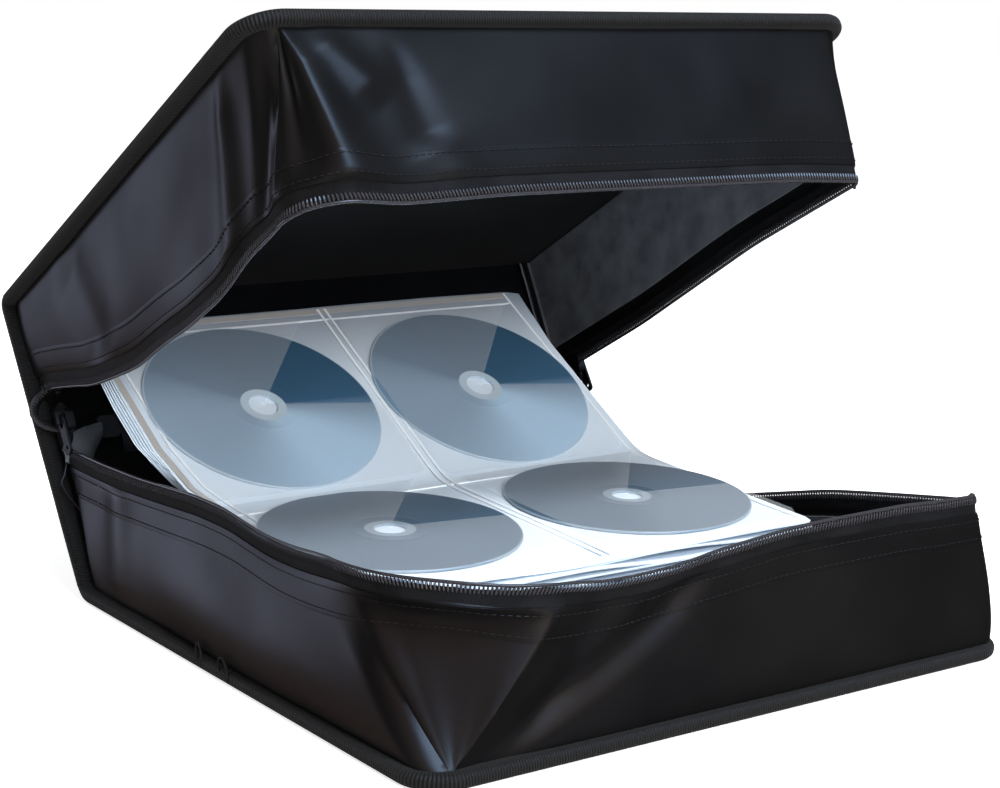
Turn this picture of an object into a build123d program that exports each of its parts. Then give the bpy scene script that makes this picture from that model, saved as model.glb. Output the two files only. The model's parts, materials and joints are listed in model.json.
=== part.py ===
from build123d import *
import math
import os

# Zipped disc wallet, stored part open: base on the table, spine leaning back, lid raised in front.
# X runs along the spine, the front is at -Y and the outer face of the base lies on z = 0.

# Driving dimensions of the case, in millimetres
width = 328.0            # left to right
depth = 306.0            # front edge to spine fold
closed_height = 161.5    # from the lower fold to the upper fold
base_rim = (77.5, 72.5, 66.0)    # height of the zip teeth at the front, half way back and at the rear
lid_rim = (83.5, 86.0, 57.0)
spine_lean = 33.1        # degrees back from upright, as stored
lid_rise = 30.3          # degrees up from level, as stored

# Cover: skin, board and lining
skin = 0.9
board = 2.6
lining = 0.9
cover = skin + board + lining
corner_radius = 20.0
fold_gap = 2.7           # from a fold's axis to the edge of the panel beside it

# Binding tape, sewn round the edge of the cover as a fat bead
bead_width = 9.0
bead_height = 6.8
bead_bevel = 2.2
bead_end_gap = 5.3       # from a fold's axis to the end of a bead

# Walls
wall = 1.9
wall_levels = (                  # height, inset from the edge of the cover, corner radius
    (6.8, 5.4, 16.0),
    (34.0, 3.6, 20.0),
    (62.0, 5.0, 26.0),
    (96.0, 9.2, 34.0),
)
wall_lining = 0.8
lining_gap = 0.15
tape_width = 8.5
tape = 0.8
teeth_height = 2.4
teeth_width = 2.8
wall_end_gap = 8.6       # from the fold's axis to the rear end of a side wall

# Ring mechanism on the inside of the spine
ring_places = (-105.0, -35.0, 35.0, 105.0)
ring_radius = 20.0
ring_wire = 3.0
ring_height = closed_height / 2
plate_length = 252.0
plate_width = 20.0
plate_rise = 3.6
rivet_radius = 4.0
lever_length = 11.0
lever_stand = 3.4        # from the spine's lining to the middle of a lever

# Zip ends on the spine
tab_height = 85.0        # up the spine
tab_span = 22.0
tab_reach = 17.0
tab_inset = 4.5          # from the end of the case to the middle of the tab
slider = (4.2, 8.5, 11.0)
pin_stand = 3.1          # from the middle of the slider out to the pull's pin
pin_rise = 2.0
pull_length = 20.0
pull_width = 6.5
pull = 1.3

# Sleeves and discs
sleeve_left = -151.0
sleeve_right = 111.0
sleeve_middle = (sleeve_left + sleeve_right) / 2
disc_pitch = 131.8
disc_radius = 60.0
disc_hole = 7.5
disc = 1.2
front_row = (-13.5, 61.0)     # y and z of the middle of the front discs
front_tilt = 2.6
back_row = (110.3, 97.3)
back_tilt = 30.0
bend_radius = 20.0
sleeve_front = -82.0
sleeve_reach = 72.0           # from the middle of the back discs up to the crest
raised_sleeves = 3
raised_pitch = 3.6
flat_sleeves = 9
flat_pitch = 4.8
flat_rear = 130.0
lowest_short = 26.0           # the lowest sleeve ends this much sooner, clear of the fold as it rises
sleeve = 2.6                  # one sleeve with the discs in it
sleeve_round = 9.0
film = 0.3

fold_y = depth / 2 - cover / 2
fold_z = cover / 2
front_y = -depth / 2

lower_fold = Location((0, fold_y, fold_z))
spine_place = lower_fold * Rotation(-spine_lean, 0, 0)
upper_fold = spine_place * Location((0, 0, closed_height))
turn_over = Rotation(0, 180, 0) * Location((0, -fold_y, -fold_z))
lid_place = upper_fold * Rotation(spine_lean - lid_rise, 0, 0) * turn_over

pieces = {}


def keep(name, shape, place=None):
    """Stores a finished piece under its name, moved to its place."""
    solids = [s.moved(place) if place else s for s in shape.solids()]
    pieces[name] = solids[0] if len(solids) == 1 else Compound(children=solids)


def tray(inset, radius, rear):
    """Outline of the cover seen from above: round at the two front corners, square at the rear."""
    half = width / 2 - inset
    front = front_y + inset
    middle = (front + rear) / 2
    sheet = Pos(0, middle) * Rectangle(2 * half, rear - front)
    return fillet(sheet.vertices().sort_by(Axis.Y)[:2], radius)


def layer(low, high, inset):
    """One flat layer of a cover panel."""
    outline = tray(inset, corner_radius - inset, fold_y - fold_gap)
    return Pos(0, 0, low) * extrude(outline, high - low)


def edge_bead():
    """Binding bead along the left, front and right edges."""
    side = width / 2 - bead_width / 2
    front = front_y + bead_width / 2
    rear = fold_y - bead_end_gap
    route = FilletPolyline(
        (-side, rear, bead_height / 2),
        (-side, front, bead_height / 2),
        (side, front, bead_height / 2),
        (side, rear, bead_height / 2),
        radius=corner_radius - bead_width / 2,
    )
    section = chamfer(Rectangle(bead_width, bead_height).vertices(), bead_bevel)
    start = Plane(origin=route @ 0, x_dir=(-1, 0, 0), z_dir=route % 0)
    bead = sweep(start * section, path=route)
    return bead


def tub(offset):
    """Solid bounded by the wall's outer face moved in by offset; it bellies out half way up."""
    rings = []
    for height, inset, radius in wall_levels:
        rings.append(Pos(0, 0, height) * tray(inset + offset, radius - offset, fold_y + 20))
    return loft(rings, ruled=True)


def rim_band(rim, low, high):
    """Slab between two copies of the curved line of the rim, low and high above it."""
    rear = fold_y - wall_end_gap
    places = (front_y, 0, rear)

    def line(offset):
        points = [(y, height + offset) for y, height in zip(places, rim)]
        return Spline(*points, tangents=((1, 0), (1, -0.12)))

    top = line(high)
    bottom = line(low)
    sides = Line(top @ 0, bottom @ 0) + Line(top @ 1, bottom @ 1)
    face = make_face(Plane.YZ * (Curve() + [top, bottom] + sides.edges()))
    return extrude(face, width, both=True)


def wall_band(rim, offset, thickness, low, high):
    """Stretch of wall of a given thickness between two heights counted from the rim."""
    return (tub(offset) - tub(offset + thickness)) & rim_band(rim, low, high)


def cover_half(prefix, rim, place):
    """Base or lid: a panel of three layers, its binding, walls and half of the zip."""
    keep(prefix + "_skin", layer(0, skin, bead_width), place)
    keep(prefix + "_board", layer(skin, skin + board, bead_width), place)
    keep(prefix + "_lining", layer(skin + board, cover, bead_width), place)
    keep(prefix + "_binding", edge_bead(), place)
    keep(prefix + "_wall", wall_band(rim, 0, wall, -100, -tape_width), place)
    inner = wall + lining_gap
    keep(prefix + "_wall_lining", wall_band(rim, inner, wall_lining, -100, -tape_width - 3), place)
    middle = (wall - tape) / 2
    keep(prefix + "_zip_tape", wall_band(rim, middle, tape, -tape_width, -teeth_height), place)
    proud = (wall - teeth_width) / 2
    keep(prefix + "_zip_teeth", wall_band(rim, proud, teeth_width, -teeth_height, 0), place)


def spine_panel():
    """Spine panel, its end bindings and the two soft folds."""
    low = fold_gap
    high = closed_height - fold_gap
    middle = (low + high) / 2
    tall = high - low
    length = width - 2 * bead_width
    layers = (("spine_skin", skin), ("spine_board", board), ("spine_lining", lining))
    outer = cover / 2
    for name, thickness in layers:
        keep(name, Pos(0, outer - thickness / 2, middle) * Box(length, thickness, tall), spine_place)
        outer -= thickness
    section = chamfer(Rectangle(bead_width, bead_height).vertices(), bead_bevel)
    bead = Pos(0, 0, bead_end_gap) * extrude(section, closed_height - 2 * bead_end_gap)
    for name, side in (("spine_binding_left", -1), ("spine_binding_right", 1)):
        x = side * (width / 2 - bead_width / 2)
        keep(name, Pos(x, cover / 2 - bead_height / 2, 0) * bead, spine_place)
    roll = Rot(0, 90, 0) * Cylinder(cover / 2, width - 2)
    keep("base_fold", roll, spine_place)
    keep("lid_fold", Pos(0, 0, closed_height) * roll, spine_place)


def ring_half(first, last):
    """Half of one ring, as an arc of wire in the plane across the spine, angles counted from the plate."""
    middle = -cover / 2 - plate_rise - ring_radius + 1.2
    arc = CenterArc((0, 0), ring_radius, first, last - first)
    route = Plane(origin=(0, middle, ring_height), x_dir=(0, 1, 0), z_dir=(1, 0, 0)) * arc
    start = Plane(origin=route @ 0, z_dir=route % 0)
    return sweep(start * RegularPolygon(ring_wire / 2, 8), path=route)


def ring_mechanism():
    """Steel plate riveted to the spine, four rings split into fixed and opening halves, and end levers."""
    inner = -cover / 2
    profile = Plane.YZ * make_face(
        Polyline((inner, ring_height - plate_width / 2), (inner - 1, ring_height - plate_width / 2))
        + ThreePointArc(
            (inner - 1, ring_height - plate_width / 2),
            (inner - plate_rise, ring_height),
            (inner - 1, ring_height + plate_width / 2),
        )
        + Polyline(
            (inner - 1, ring_height + plate_width / 2),
            (inner, ring_height + plate_width / 2),
            (inner, ring_height - plate_width / 2),
        )
    )
    keep("ring_plate", extrude(profile, plate_length / 2, both=True), spine_place)
    head = Pos(0, inner - plate_rise - 0.4, ring_height) * Rot(90, 0, 0) * Cylinder(rivet_radius, 0.8)
    keep("ring_rivets", Part() + [Pos(x, 0, 0) * head for x in (-70, 0, 70)], spine_place)
    first = 24
    fixed = ring_half(-first, -179)
    moving = ring_half(first + 4, 179)
    keep("ring_fixed_halves", Part() + [Pos(x, 0, 0) * fixed for x in ring_places], spine_place)
    keep("ring_opening_halves", Part() + [Pos(x, 0, 0) * moving for x in ring_places], spine_place)
    levers = Part()
    for side in (-1, 1):
        x = side * (plate_length / 2 + 0.4 + lever_length / 2)
        blade = Box(lever_length, 1.4, 12)
        levers += Pos(x, inner - lever_stand, ring_height + 4) * fillet(blade.edges().filter_by(Axis.Y), 2.5)
    keep("ring_levers", levers, spine_place)


def zip_end(name, side):
    """End tab of the zip with its slider and hanging pull, at one end of the spine."""
    inner = cover / 2 - bead_height
    x = side * (width / 2 - tab_inset)
    tab = Box(1.6, tab_reach, tab_span)
    tab = fillet(tab.edges().filter_by(Axis.X).sort_by(Axis.Y)[:2], 6)
    keep("zip_end_" + name, Pos(x, inner - tab_reach / 2, tab_height) * tab, spine_place)
    thick, deep, tall = slider
    y = inner - tab_reach - deep / 2 + 6
    body = Box(thick, deep, tall)
    body = fillet(body.edges().filter_by(Axis.X), 2.5)
    body -= Pos(0, deep / 2 - 3.1, 0) * Box(1.8, 6.3, tall + 2)
    bar = 1.2
    arch = Pos(side * (thick / 2 + 2.6), 0, pin_rise) * Box(bar, 1.6, 6.4)
    for end in (-1, 1):
        arch += Pos(side * (thick / 2 + 1.3), 0, pin_rise + end * 2.6) * Box(2.8, 1.6, bar)
    keep("zip_slider_" + name, Pos(x, y, tab_height) * (body + arch), spine_place)
    blade = Box(pull, pull_width, pull_length)
    blade = fillet(blade.edges().filter_by(Axis.X), 2.2)
    blade -= Pos(0, 0, pull_length / 2 - pull - 2.4) * Box(2 * pull, 3.4, 4.8)
    hole = Rot(0, 90, 0) * Cylinder(1.2, 2 * pull)
    blade -= Pos(0, 0, 3.4 - pull_length / 2) * hole
    drop = tab_height + pin_rise + pull / 2 - pull_length / 2
    keep("zip_pull_" + name, Pos(x + side * pin_stand, y, drop) * blade, spine_place)


def raised_line(front, rear, drop):
    """Side view of the upper face of a raised sleeve: nearly level in front, then up to the crest."""
    slope = math.tan(math.radians(front_tilt))
    climb = math.tan(math.radians(back_tilt))
    front_z = front_row[1] + (front - front_row[0]) * slope - drop
    bend_y = (back_row[1] - front_row[1] + front_row[0] * slope - back_row[0] * climb) / (slope - climb)
    bend_z = front_row[1] + (bend_y - front_row[0]) * slope - drop
    return (front, front_z), (bend_y, bend_z), (rear, bend_z + (rear - bend_y) * climb)


def sleeve_solid(run, shift):
    """One pocket sleeve: a slab under the line of its upper face, with rounded corners."""
    under = Pos(0, -sleeve) * run
    ends = Line(run @ 0, under @ 0) + Line(run @ 1, under @ 1)
    slab = extrude(make_face(Plane.YZ * (run + under + ends)), sleeve_right - sleeve_left, both=True)
    front = (run @ 0).X
    rear = (run @ 1).X
    outline = RectangleRounded(sleeve_right - sleeve_left, rear - front, sleeve_round)
    cutter = extrude(Pos(0, (front + rear) / 2) * outline, 300)
    return Pos(sleeve_middle + shift, 0, 0) * (slab & cutter)


def disc_place(row, tilt, column):
    """Where a disc lies: in the front or the back row, left or right of the middle weld."""
    x = sleeve_middle + column * disc_pitch / 2
    return Location((x, row[0], row[1])) * Rotation(tilt, 0, 0)


def contents():
    """Sleeves, the discs of the top sleeve and the clear fronts of its pockets."""
    crest = back_row[0] + sleeve_reach * math.cos(math.radians(back_tilt))
    under_disc = disc / 2 + 0.15
    for i in range(raised_sleeves):
        drop = under_disc / math.cos(math.radians(back_tilt)) + i * raised_pitch
        points = raised_line(sleeve_front - 2.5 * i, crest - 1.5 * i, drop)
        run = FilletPolyline(*points, radius=bend_radius)
        keep(f"sleeve_raised_{i + 1}", sleeve_solid(run, 0.6 * (i % 2)))
    for i in range(flat_sleeves):
        front = sleeve_front - 6 - 5 * math.sin(1.7 * i) ** 2
        rear = flat_rear - 3 * (i % 3) - (lowest_short if i == flat_sleeves - 1 else 0)
        height = cover + 0.1 + sleeve + (flat_sleeves - 1 - i) * flat_pitch
        run = Line((front, height), (rear, height))
        keep(f"sleeve_flat_{i + 1}", sleeve_solid(run, 0.8 * math.sin(2.1 * i)))
    plate = Cylinder(disc_radius, disc) - Cylinder(disc_hole, 2 * disc)
    half = disc_pitch / 2 - 3
    front_sheet = Pos(0, -16, 0) * Box(2 * half, 96, film)
    mouth = Pos(0, 52, 0) * Cylinder(30, 4)
    pocket = front_sheet - mouth
    films = Part()
    for row_name, row, tilt in (("front", front_row, front_tilt), ("back", back_row, back_tilt)):
        for column_name, column in (("left", -1), ("right", 1)):
            place = disc_place(row, tilt, column)
            keep(f"disc_{row_name}_{column_name}", plate, place)
            films += place * Pos(0, 0, disc / 2 + 0.15 + film / 2) * pocket
    keep("pocket_fronts", films)


cover_half("base", base_rim, Location())
cover_half("lid", lid_rim, lid_place)
spine_panel()
ring_mechanism()
zip_end("left", -1)
zip_end("right", 1)
contents()

os.makedirs("parts", exist_ok=True)
for name, shape in pieces.items():
    export_step(shape, f"parts/{name}.step")
print(len(pieces), "pieces")
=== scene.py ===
import json
import math

import bpy
import numpy as np
from mathutils import Euler, Matrix, Vector


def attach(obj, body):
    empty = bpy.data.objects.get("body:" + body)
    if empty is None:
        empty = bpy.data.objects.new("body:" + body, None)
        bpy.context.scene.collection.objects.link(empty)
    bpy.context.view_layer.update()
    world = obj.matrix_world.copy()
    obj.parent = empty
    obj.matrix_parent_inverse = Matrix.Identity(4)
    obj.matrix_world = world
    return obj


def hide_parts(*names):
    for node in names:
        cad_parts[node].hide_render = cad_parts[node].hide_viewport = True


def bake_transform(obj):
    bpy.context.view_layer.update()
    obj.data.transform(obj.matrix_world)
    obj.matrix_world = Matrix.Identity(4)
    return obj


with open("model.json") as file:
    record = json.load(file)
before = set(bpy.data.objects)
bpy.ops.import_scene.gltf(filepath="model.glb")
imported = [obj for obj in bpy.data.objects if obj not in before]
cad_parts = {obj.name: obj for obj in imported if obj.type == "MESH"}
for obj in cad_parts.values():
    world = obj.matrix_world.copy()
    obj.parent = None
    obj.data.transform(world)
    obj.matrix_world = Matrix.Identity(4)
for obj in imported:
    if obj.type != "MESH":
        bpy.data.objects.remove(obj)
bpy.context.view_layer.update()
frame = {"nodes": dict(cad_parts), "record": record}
print("frame loaded")

# Zipped disc wallet, part open. Lengths are in millimetres and become metres in addPiece.
# Base, lid and their walls are drawn in one half frame: outer face on z = 0, front edge at -y,
# spine fold at +y. The lid is that half turned over and raised, the spine has y out and z up its height.
case = {
    "halfWidth": 164.0, "halfDepth": 153.0, "foldY": 150.8, "foldZ": 2.2, "spineTall": 161.5,
    "spineLean": math.radians(33.1), "lidRise": math.radians(30.3), "cornerRadius": 20.0, "beadWidth": 9.0,
    "beadHeight": 6.8, "beadEndGap": 5.3, "cover": 4.4,
    "flare": (0.0, 0.023, 0.037),  # how much wider the cover is at its front edge, base fold and lid
}
lidFoldY = case["foldY"] + case["spineTall"] * math.sin(case["spineLean"])
lidFoldZ = case["foldZ"] + case["spineTall"] * math.cos(case["spineLean"])


# Value held between 0 and 1
def clamp(value):
    return np.clip(value, 0, 1)


# Contents, folds and floor are drawn in the row frame
def asDrawn(p):
    return np.array(p, float)


# Half frame to row frame for the base, which widens a little to the rear
def onBase(p):
    p = np.array(p, float)
    share = clamp((p[..., 1] + case["halfDepth"]) / (case["halfDepth"] + case["foldY"]))
    p[..., 0] *= 1 + case["flare"][0] + (case["flare"][1] - case["flare"][0]) * share
    return p


# Spine frame to row frame
def onSpine(p):
    p = np.array(p, float)
    s = math.sin(case["spineLean"])
    c = math.cos(case["spineLean"])
    y = case["foldY"] + p[..., 2] * s + p[..., 1] * c
    z = case["foldZ"] + p[..., 2] * c - p[..., 1] * s
    wide = 1 + case["flare"][1] + (case["flare"][2] - case["flare"][1]) * clamp(p[..., 2] / case["spineTall"])
    return stacked(p[..., 0] * wide, y, z)


# Half frame to row frame for the lid, which is turned over and raised
def onLid(p):
    p = np.array(p, float)
    s = math.sin(case["lidRise"])
    c = math.cos(case["lidRise"])
    a = p[..., 1] - case["foldY"]
    b = p[..., 2] - case["foldZ"]
    wide = 1 + case["flare"][2]
    return stacked(p[..., 0] * wide, lidFoldY + a * c - b * s, lidFoldZ - a * s - b * c)


# Linear colour of an sRGB hex code
def hexToLinear(code):
    values = [int(code[i : i + 2], 16) / 255 for i in (1, 3, 5)]
    return [v / 12.92 if v <= 0.04045 else ((v + 0.055) / 1.055) ** 2.4 for v in values] + [1.0]


# An empty node material, and its node tree
def newMaterial(name):
    made = bpy.data.materials.new(name)
    made.use_nodes = True
    made.node_tree.nodes.clear()
    return made, made.node_tree


# Adds one node. An input is a constant, or a pair of a node and its output's name
def addNode(tree, kind, inputs=(), **settings):
    node = tree.nodes.new("ShaderNode" + kind)
    for key, value in settings.items():
        setattr(node, key, value)
    for key, value in dict(inputs).items():
        if isinstance(value, tuple) and isinstance(value[0], bpy.types.Node):
            tree.links.new(value[0].outputs[value[1]], node.inputs[key])
        else:
            node.inputs[key].default_value = value
    return node


# Surface shader with these inputs, linked to the output
def finishMaterial(tree, inputs):
    shader = addNode(tree, "BsdfPrincipled", inputs)
    addNode(tree, "OutputMaterial", {"Surface": (shader, "BSDF")})


# The same for a surface with a tone and a bump of this depth in metres
def finishBumpy(tree, tone, height, depth, look, inputs):
    bump = addNode(tree, "Bump", {"Height": height, "Strength": look["bump"], "Distance": depth})
    shared = {"Base Color": (tone, "Color"), "IOR": 1.5, "Normal": (bump, "Normal")}
    finishMaterial(tree, shared | inputs)


# Result of a sum on one or two values
def mathNode(tree, operation, *values):
    return addNode(tree, "Math", dict(enumerate(values)), operation=operation), "Value"


# Colour ramp through (place, hex) stops
def colourRamp(tree, value, stops):
    ramp = addNode(tree, "ValToRGB", {"Fac": value})
    elements = ramp.color_ramp.elements
    while len(elements) < len(stops):
        elements.new(0.5)
    for element, (place, code) in zip(elements, stops):
        element.position = place
        element.color = hexToLinear(code)
    return ramp


# Scale of a wave texture whose bands repeat after that length
def waveScale(period):
    return math.pi / 10 / period


# Soft noise over the object, its patches of this size in millimetres
def patchNoise(tree, place, look, detail):
    inputs = {"Vector": (place, "Object"), "Scale": 1000 / look["patch"], "Detail": detail}
    return addNode(tree, "TexNoise", inputs)


# Leatherette: fabric coated with soft vinyl, calendered to a fine grain, with a broad soft shine
def leatherMaterial(name, look):
    made, tree = newMaterial(name)
    place = addNode(tree, "TexCoord")
    cells = {"Vector": (place, "Object"), "Scale": 1000 / look["grain"]}
    grain = addNode(tree, "TexVoronoi", cells, feature="SMOOTH_F1")
    soft = patchNoise(tree, place, look, 3.0)
    limits = {"From Min": 0.3, "From Max": 0.7, "To Min": look["roughLow"], "To Max": look["roughHigh"]}
    rough = addNode(tree, "MapRange", {"Value": (soft, "Fac")} | limits)
    tone = colourRamp(tree, (soft, "Fac"), ((0.3, look["dark"]), (0.7, look["light"])))
    inputs = {"Roughness": (rough, "Result"), "Specular IOR Level": look["specular"]}
    finishBumpy(tree, tone, (grain, "Distance"), 0.0002, look, inputs)
    return made


# Woven nylon: fine crossed threads, matt with a faint sheen
def wovenMaterial(name, look):
    made, tree = newMaterial(name)
    place = addNode(tree, "TexCoord")
    threads = {"Vector": (place, "Object"), "Scale": waveScale(look["thread"] * 0.001), "Distortion": 0.4}
    across = addNode(tree, "TexWave", threads)
    along = addNode(tree, "TexWave", threads, bands_direction="Y")
    weave = mathNode(tree, "MULTIPLY", (across, "Fac"), (along, "Fac"))
    patches = patchNoise(tree, place, look, 4.0)
    tone = colourRamp(tree, (patches, "Fac"), ((0.35, look["dark"]), (0.65, look["light"])))
    inputs = {"Roughness": look["rough"], "Specular IOR Level": 0.2, "Sheen Roughness": 0.4}
    finishBumpy(tree, tone, weave, 0.0003, look, inputs | {"Sheen Weight": look["sheen"]})
    return made


# Grosgrain: its heavy ribs run across the tape and repeat along its own UV map, in millimetres
def ribbedMaterial(name, look):
    made, tree = newMaterial(name)
    place = addNode(tree, "UVMap", uv_map="tape")
    wave = addNode(tree, "TexWave", {"Vector": (place, "UV"), "Scale": waveScale(look["rib"])})
    tone = colourRamp(tree, (wave, "Fac"), ((0.1, look["dark"]), (0.9, look["light"])))
    inputs = {"Roughness": look["rough"], "Specular IOR Level": 0.3, "Sheen Weight": look["sheen"]}
    finishBumpy(tree, tone, (wave, "Fac"), 0.0006, look, inputs)
    return made


# One even surface, such as moulded plastic or plated metal
def plainMaterial(name, look):
    made, tree = newMaterial(name)
    inputs = {
        "Base Color": hexToLinear(look["colour"]),
        "Roughness": look["rough"],
        "Metallic": look.get("metal", 0.0),
        "Coat Weight": look.get("coat", 0.0),
        "Alpha": look.get("alpha", 1.0),
        "Emission Color": hexToLinear(look["colour"]),
        "Emission Strength": look.get("glow", 0.0),
    }
    if not look.get("metal"):
        inputs["IOR"] = 1.5
    finishMaterial(tree, inputs)
    return made


# Near black leatherette: grain about 1 mm, coarsened from 0.4 mm so that it shows at this size
leatherLook = {
    "dark": "#080708", "light": "#0e0d0d", "roughLow": 0.3, "roughHigh": 0.38,
    "grain": 1.1, "patch": 60, "bump": 0.1, "specular": 0.5,
}
leather = leatherMaterial("leatherette", leatherLook)
# The same leatherette on the lid, a little duller
dull = {"dark": "#080808", "light": "#0e0e0f", "roughLow": 0.31, "roughHigh": 0.39, "specular": 0.36}
lidLeather = leatherMaterial("leatheretteLid", leatherLook | dull)
# Nylon lining, blue-black
liningCloth = wovenMaterial(
    "nylonLining", {
        "dark": "#08090c", "light": "#0d0f13", "thread": 1.0, "patch": 40, "rough": 0.6, "bump": 0.25,
        "sheen": 0.03,
    }
)
# Greyer lining of the walls, where light comes through the cloth
wallCloth = wovenMaterial(
    "wallLining", {
        "dark": "#4d5157", "light": "#666a71", "thread": 1.0, "patch": 16, "rough": 0.6, "bump": 0.3,
        "sheen": 0.1,
    }
)
# Grosgrain binding, black
grosgrain = ribbedMaterial(
    "grosgrain",
    {"dark": "#080808", "light": "#191919", "rib": 1.35, "rough": 0.6, "bump": 0.5, "sheen": 0.03},
)
# Zip tape, finely woven polyester
tapeCloth = wovenMaterial(
    "zipTape", {
        "dark": "#0a0a0b", "light": "#111113", "thread": 0.9, "patch": 20, "rough": 0.65, "bump": 0.3,
        "sheen": 0.03,
    }
)
# Extruded nylon coil, glossy black
coilPlastic = plainMaterial("zipCoil", {"colour": "#29292d", "rough": 0.22, "coat": 0.6})
# Polyester sewing thread, black
thread = plainMaterial("thread", {"colour": "#161516", "rough": 0.5})
# Zinc slider and pull with black enamel
enamel = plainMaterial("blackEnamel", {"colour": "#08080a", "rough": 0.35})
# Nickel plated steel of the rings, its colour darkened as painted shade, since the ring levers sit in shade
steel = plainMaterial("platedSteel", {"colour": "#5f6063", "rough": 0.34, "metal": 1.0})
# Grey board under the skins
boardMaterial = plainMaterial("greyBoard", {"colour": "#8a8175", "rough": 0.8})


# Makes a mesh from points and faces in a local frame, moved by place, riding on a body
def addPiece(name, solid, place, body, material, uv=None, closed=True, sharp=40):
    shape = place(np.asarray(solid[0], float).reshape(-1, 3))
    quads = [np.asarray(f, int) for f in solid[1] if len(f)]
    if closed:
        middle = shape.mean(0)
        volume = 0.0
        for f in quads:
            a = shape[f[:, 0]] - middle
            for k in range(1, f.shape[1] - 1):
                b, c = shape[f[:, k]] - middle, shape[f[:, k + 1]] - middle
                volume += (a * np.cross(b, c)).sum()
        if volume < 0:
            quads = [f[:, ::-1] for f in quads]
    mesh = bpy.data.meshes.new(name)
    mesh.from_pydata((shape * 0.001).tolist(), [], [row for f in quads for row in f.tolist()])
    if uv is not None:
        layer = mesh.uv_layers.new(name="tape")
        index = np.concatenate([f.ravel() for f in quads])
        layer.data.foreach_set("uv", np.asarray(uv, np.float32).reshape(-1, 2)[index].ravel())
    mesh.polygons.foreach_set("use_smooth", np.ones(len(mesh.polygons), bool))
    mesh.set_sharp_from_angle(angle=math.radians(sharp))
    mesh.materials.append(material)
    made = bpy.data.objects.new(name, mesh)
    bpy.context.scene.collection.objects.link(made)
    if body:
        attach(made, body)
    return made


# Quads of m rows of n points; around joins the last point of a row to its first
def gridFaces(m, n, around=False):
    i = np.arange(m - 1)[:, None] * n
    j = np.arange(n if around else n - 1)[None, :]
    k = (j + 1) % n
    return stacked(i + j, i + n + j, i + n + k, i + k).reshape(-1, 4)


# Points or vectors from their coordinates, each an array or one number
def stacked(*values):
    return np.stack(np.broadcast_arrays(*values), axis=-1)


# Columns of a table read off between its places
def between(at, places, table):
    return stacked(*(np.interp(at, places, column) for column in table.T))


# Vectors scaled to length 1
def unitRows(v):
    return v / np.maximum(np.linalg.norm(v, axis=-1, keepdims=True), 1e-9)


# Unit direction of a path at each of its points
def heading(path):
    return unitRows(np.gradient(path, axis=0))


# Distance along a path of points
def arcLengths(path):
    return np.concatenate([[0], np.cumsum(np.linalg.norm(np.diff(path, axis=0), axis=1))])


# Points of the unit circle at these angles
def onCircle(angle):
    return stacked(np.cos(angle), np.sin(angle))


# Unit normals of a grid of points
def gridNormals(p):
    return unitRows(np.cross(np.gradient(p, axis=0), np.gradient(p, axis=1)))


# Closed sheet between a grid of points and the same grid moved in by its thickness
def slab(outer, thickness):
    m, n = outer.shape[:2]
    inner = outer - gridNormals(outer) * thickness
    rings = np.concatenate([outer, inner[:, ::-1]], axis=1)
    j = np.arange(n - 1)
    cap = stacked(j, j + 1, 2 * n - 2 - j, 2 * n - 1 - j)
    return rings.reshape(-1, 3), [gridFaces(m, 2 * n, True), cap, cap[:, ::-1] + (m - 1) * 2 * n]


# Closed outline of a rounded rectangle about the origin
def roundedSection(width, height, radius, steps=5):
    turns = []
    for k, (sx, sy) in enumerate(((1, 1), (-1, 1), (-1, -1), (1, -1))):
        angle = np.radians(np.linspace(90 * k, 90 * k + 90, steps))
        centre = np.array([sx * (width / 2 - radius), sy * (height / 2 - radius)])
        turns.append(centre + radius * onCircle(angle))
    return np.concatenate(turns)


# Closed bar: a section carried along a path, its first axis along side and its second along up
def sweep(section, path, side, up):
    rings = path[:, None] + section[None, :, :1] * side[:, None] + section[None, :, 1:] * up[:, None]
    m, n = rings.shape[:2]
    cap = np.arange(n)[None, :]
    return rings.reshape(-1, 3), [gridFaces(m, n, True), cap, cap[:, ::-1] + (m - 1) * n]


# Many copies of one small shape, each at its centre and turned to its three axes
def scatter(unit, faces, centres, x, y, z):
    copies = centres[:, None]
    for k, axis in enumerate((x, y, z)):
        copies = copies + unit[None, :, k : k + 1] * axis[:, None]
    step = (np.arange(len(centres)) * len(unit))[:, None, None]
    return copies.reshape(-1, 3), [(f[None] + step).reshape(-1, f.shape[1]) for f in faces]


# Small rounded bar along x
def capsule(length, radius, sides=6, rings=4):
    place = np.linspace(-0.5, 0.5, rings)
    scale = np.sqrt(clamp(1 - (np.abs(place) * 2) ** 4 * 0.75))
    angle = np.linspace(0, 2 * np.pi, sides, endpoint=False)
    around = stacked(0 * angle, np.cos(angle), np.sin(angle)) * radius
    points = around[None] * scale[:, None, None]
    points[..., 0] += (place * length)[:, None]
    cap = np.arange(sides)[None, :]
    return points.reshape(-1, 3), [gridFaces(rings, sides, True), cap, cap[:, ::-1] + (rings - 1) * sides]


# Moving average along the first axis, the ends held
def smooth(values, width):
    width = max(int(width) | 1, 1)
    first, last = (np.repeat(end, width // 2, 0) for end in (values[:1], values[-1:]))
    padded = np.concatenate([first, values, last])
    kernel = np.hanning(width + 2)[1:-1]
    return np.convolve(padded, kernel / kernel.sum(), mode="valid")


# Smooth random field between -1 and 1 over a plane, its hills about one cell apart
def noise(a, h, cell, seed):
    grid = np.random.default_rng(seed).uniform(-1, 1, (64, 64))
    u, v = a / cell, h / cell
    i, j = np.floor(u).astype(int), np.floor(v).astype(int)
    fu, fv = u - i, v - j
    fu, fv = fu * fu * (3 - 2 * fu), fv * fv * (3 - 2 * fv)

    def at(k, l):
        return grid[k % 64, l % 64]

    low = at(i, j) * (1 - fu) + at(i + 1, j) * fu
    high = at(i, j + 1) * (1 - fu) + at(i + 1, j + 1) * fu
    return low * (1 - fv) + high * fv


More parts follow.
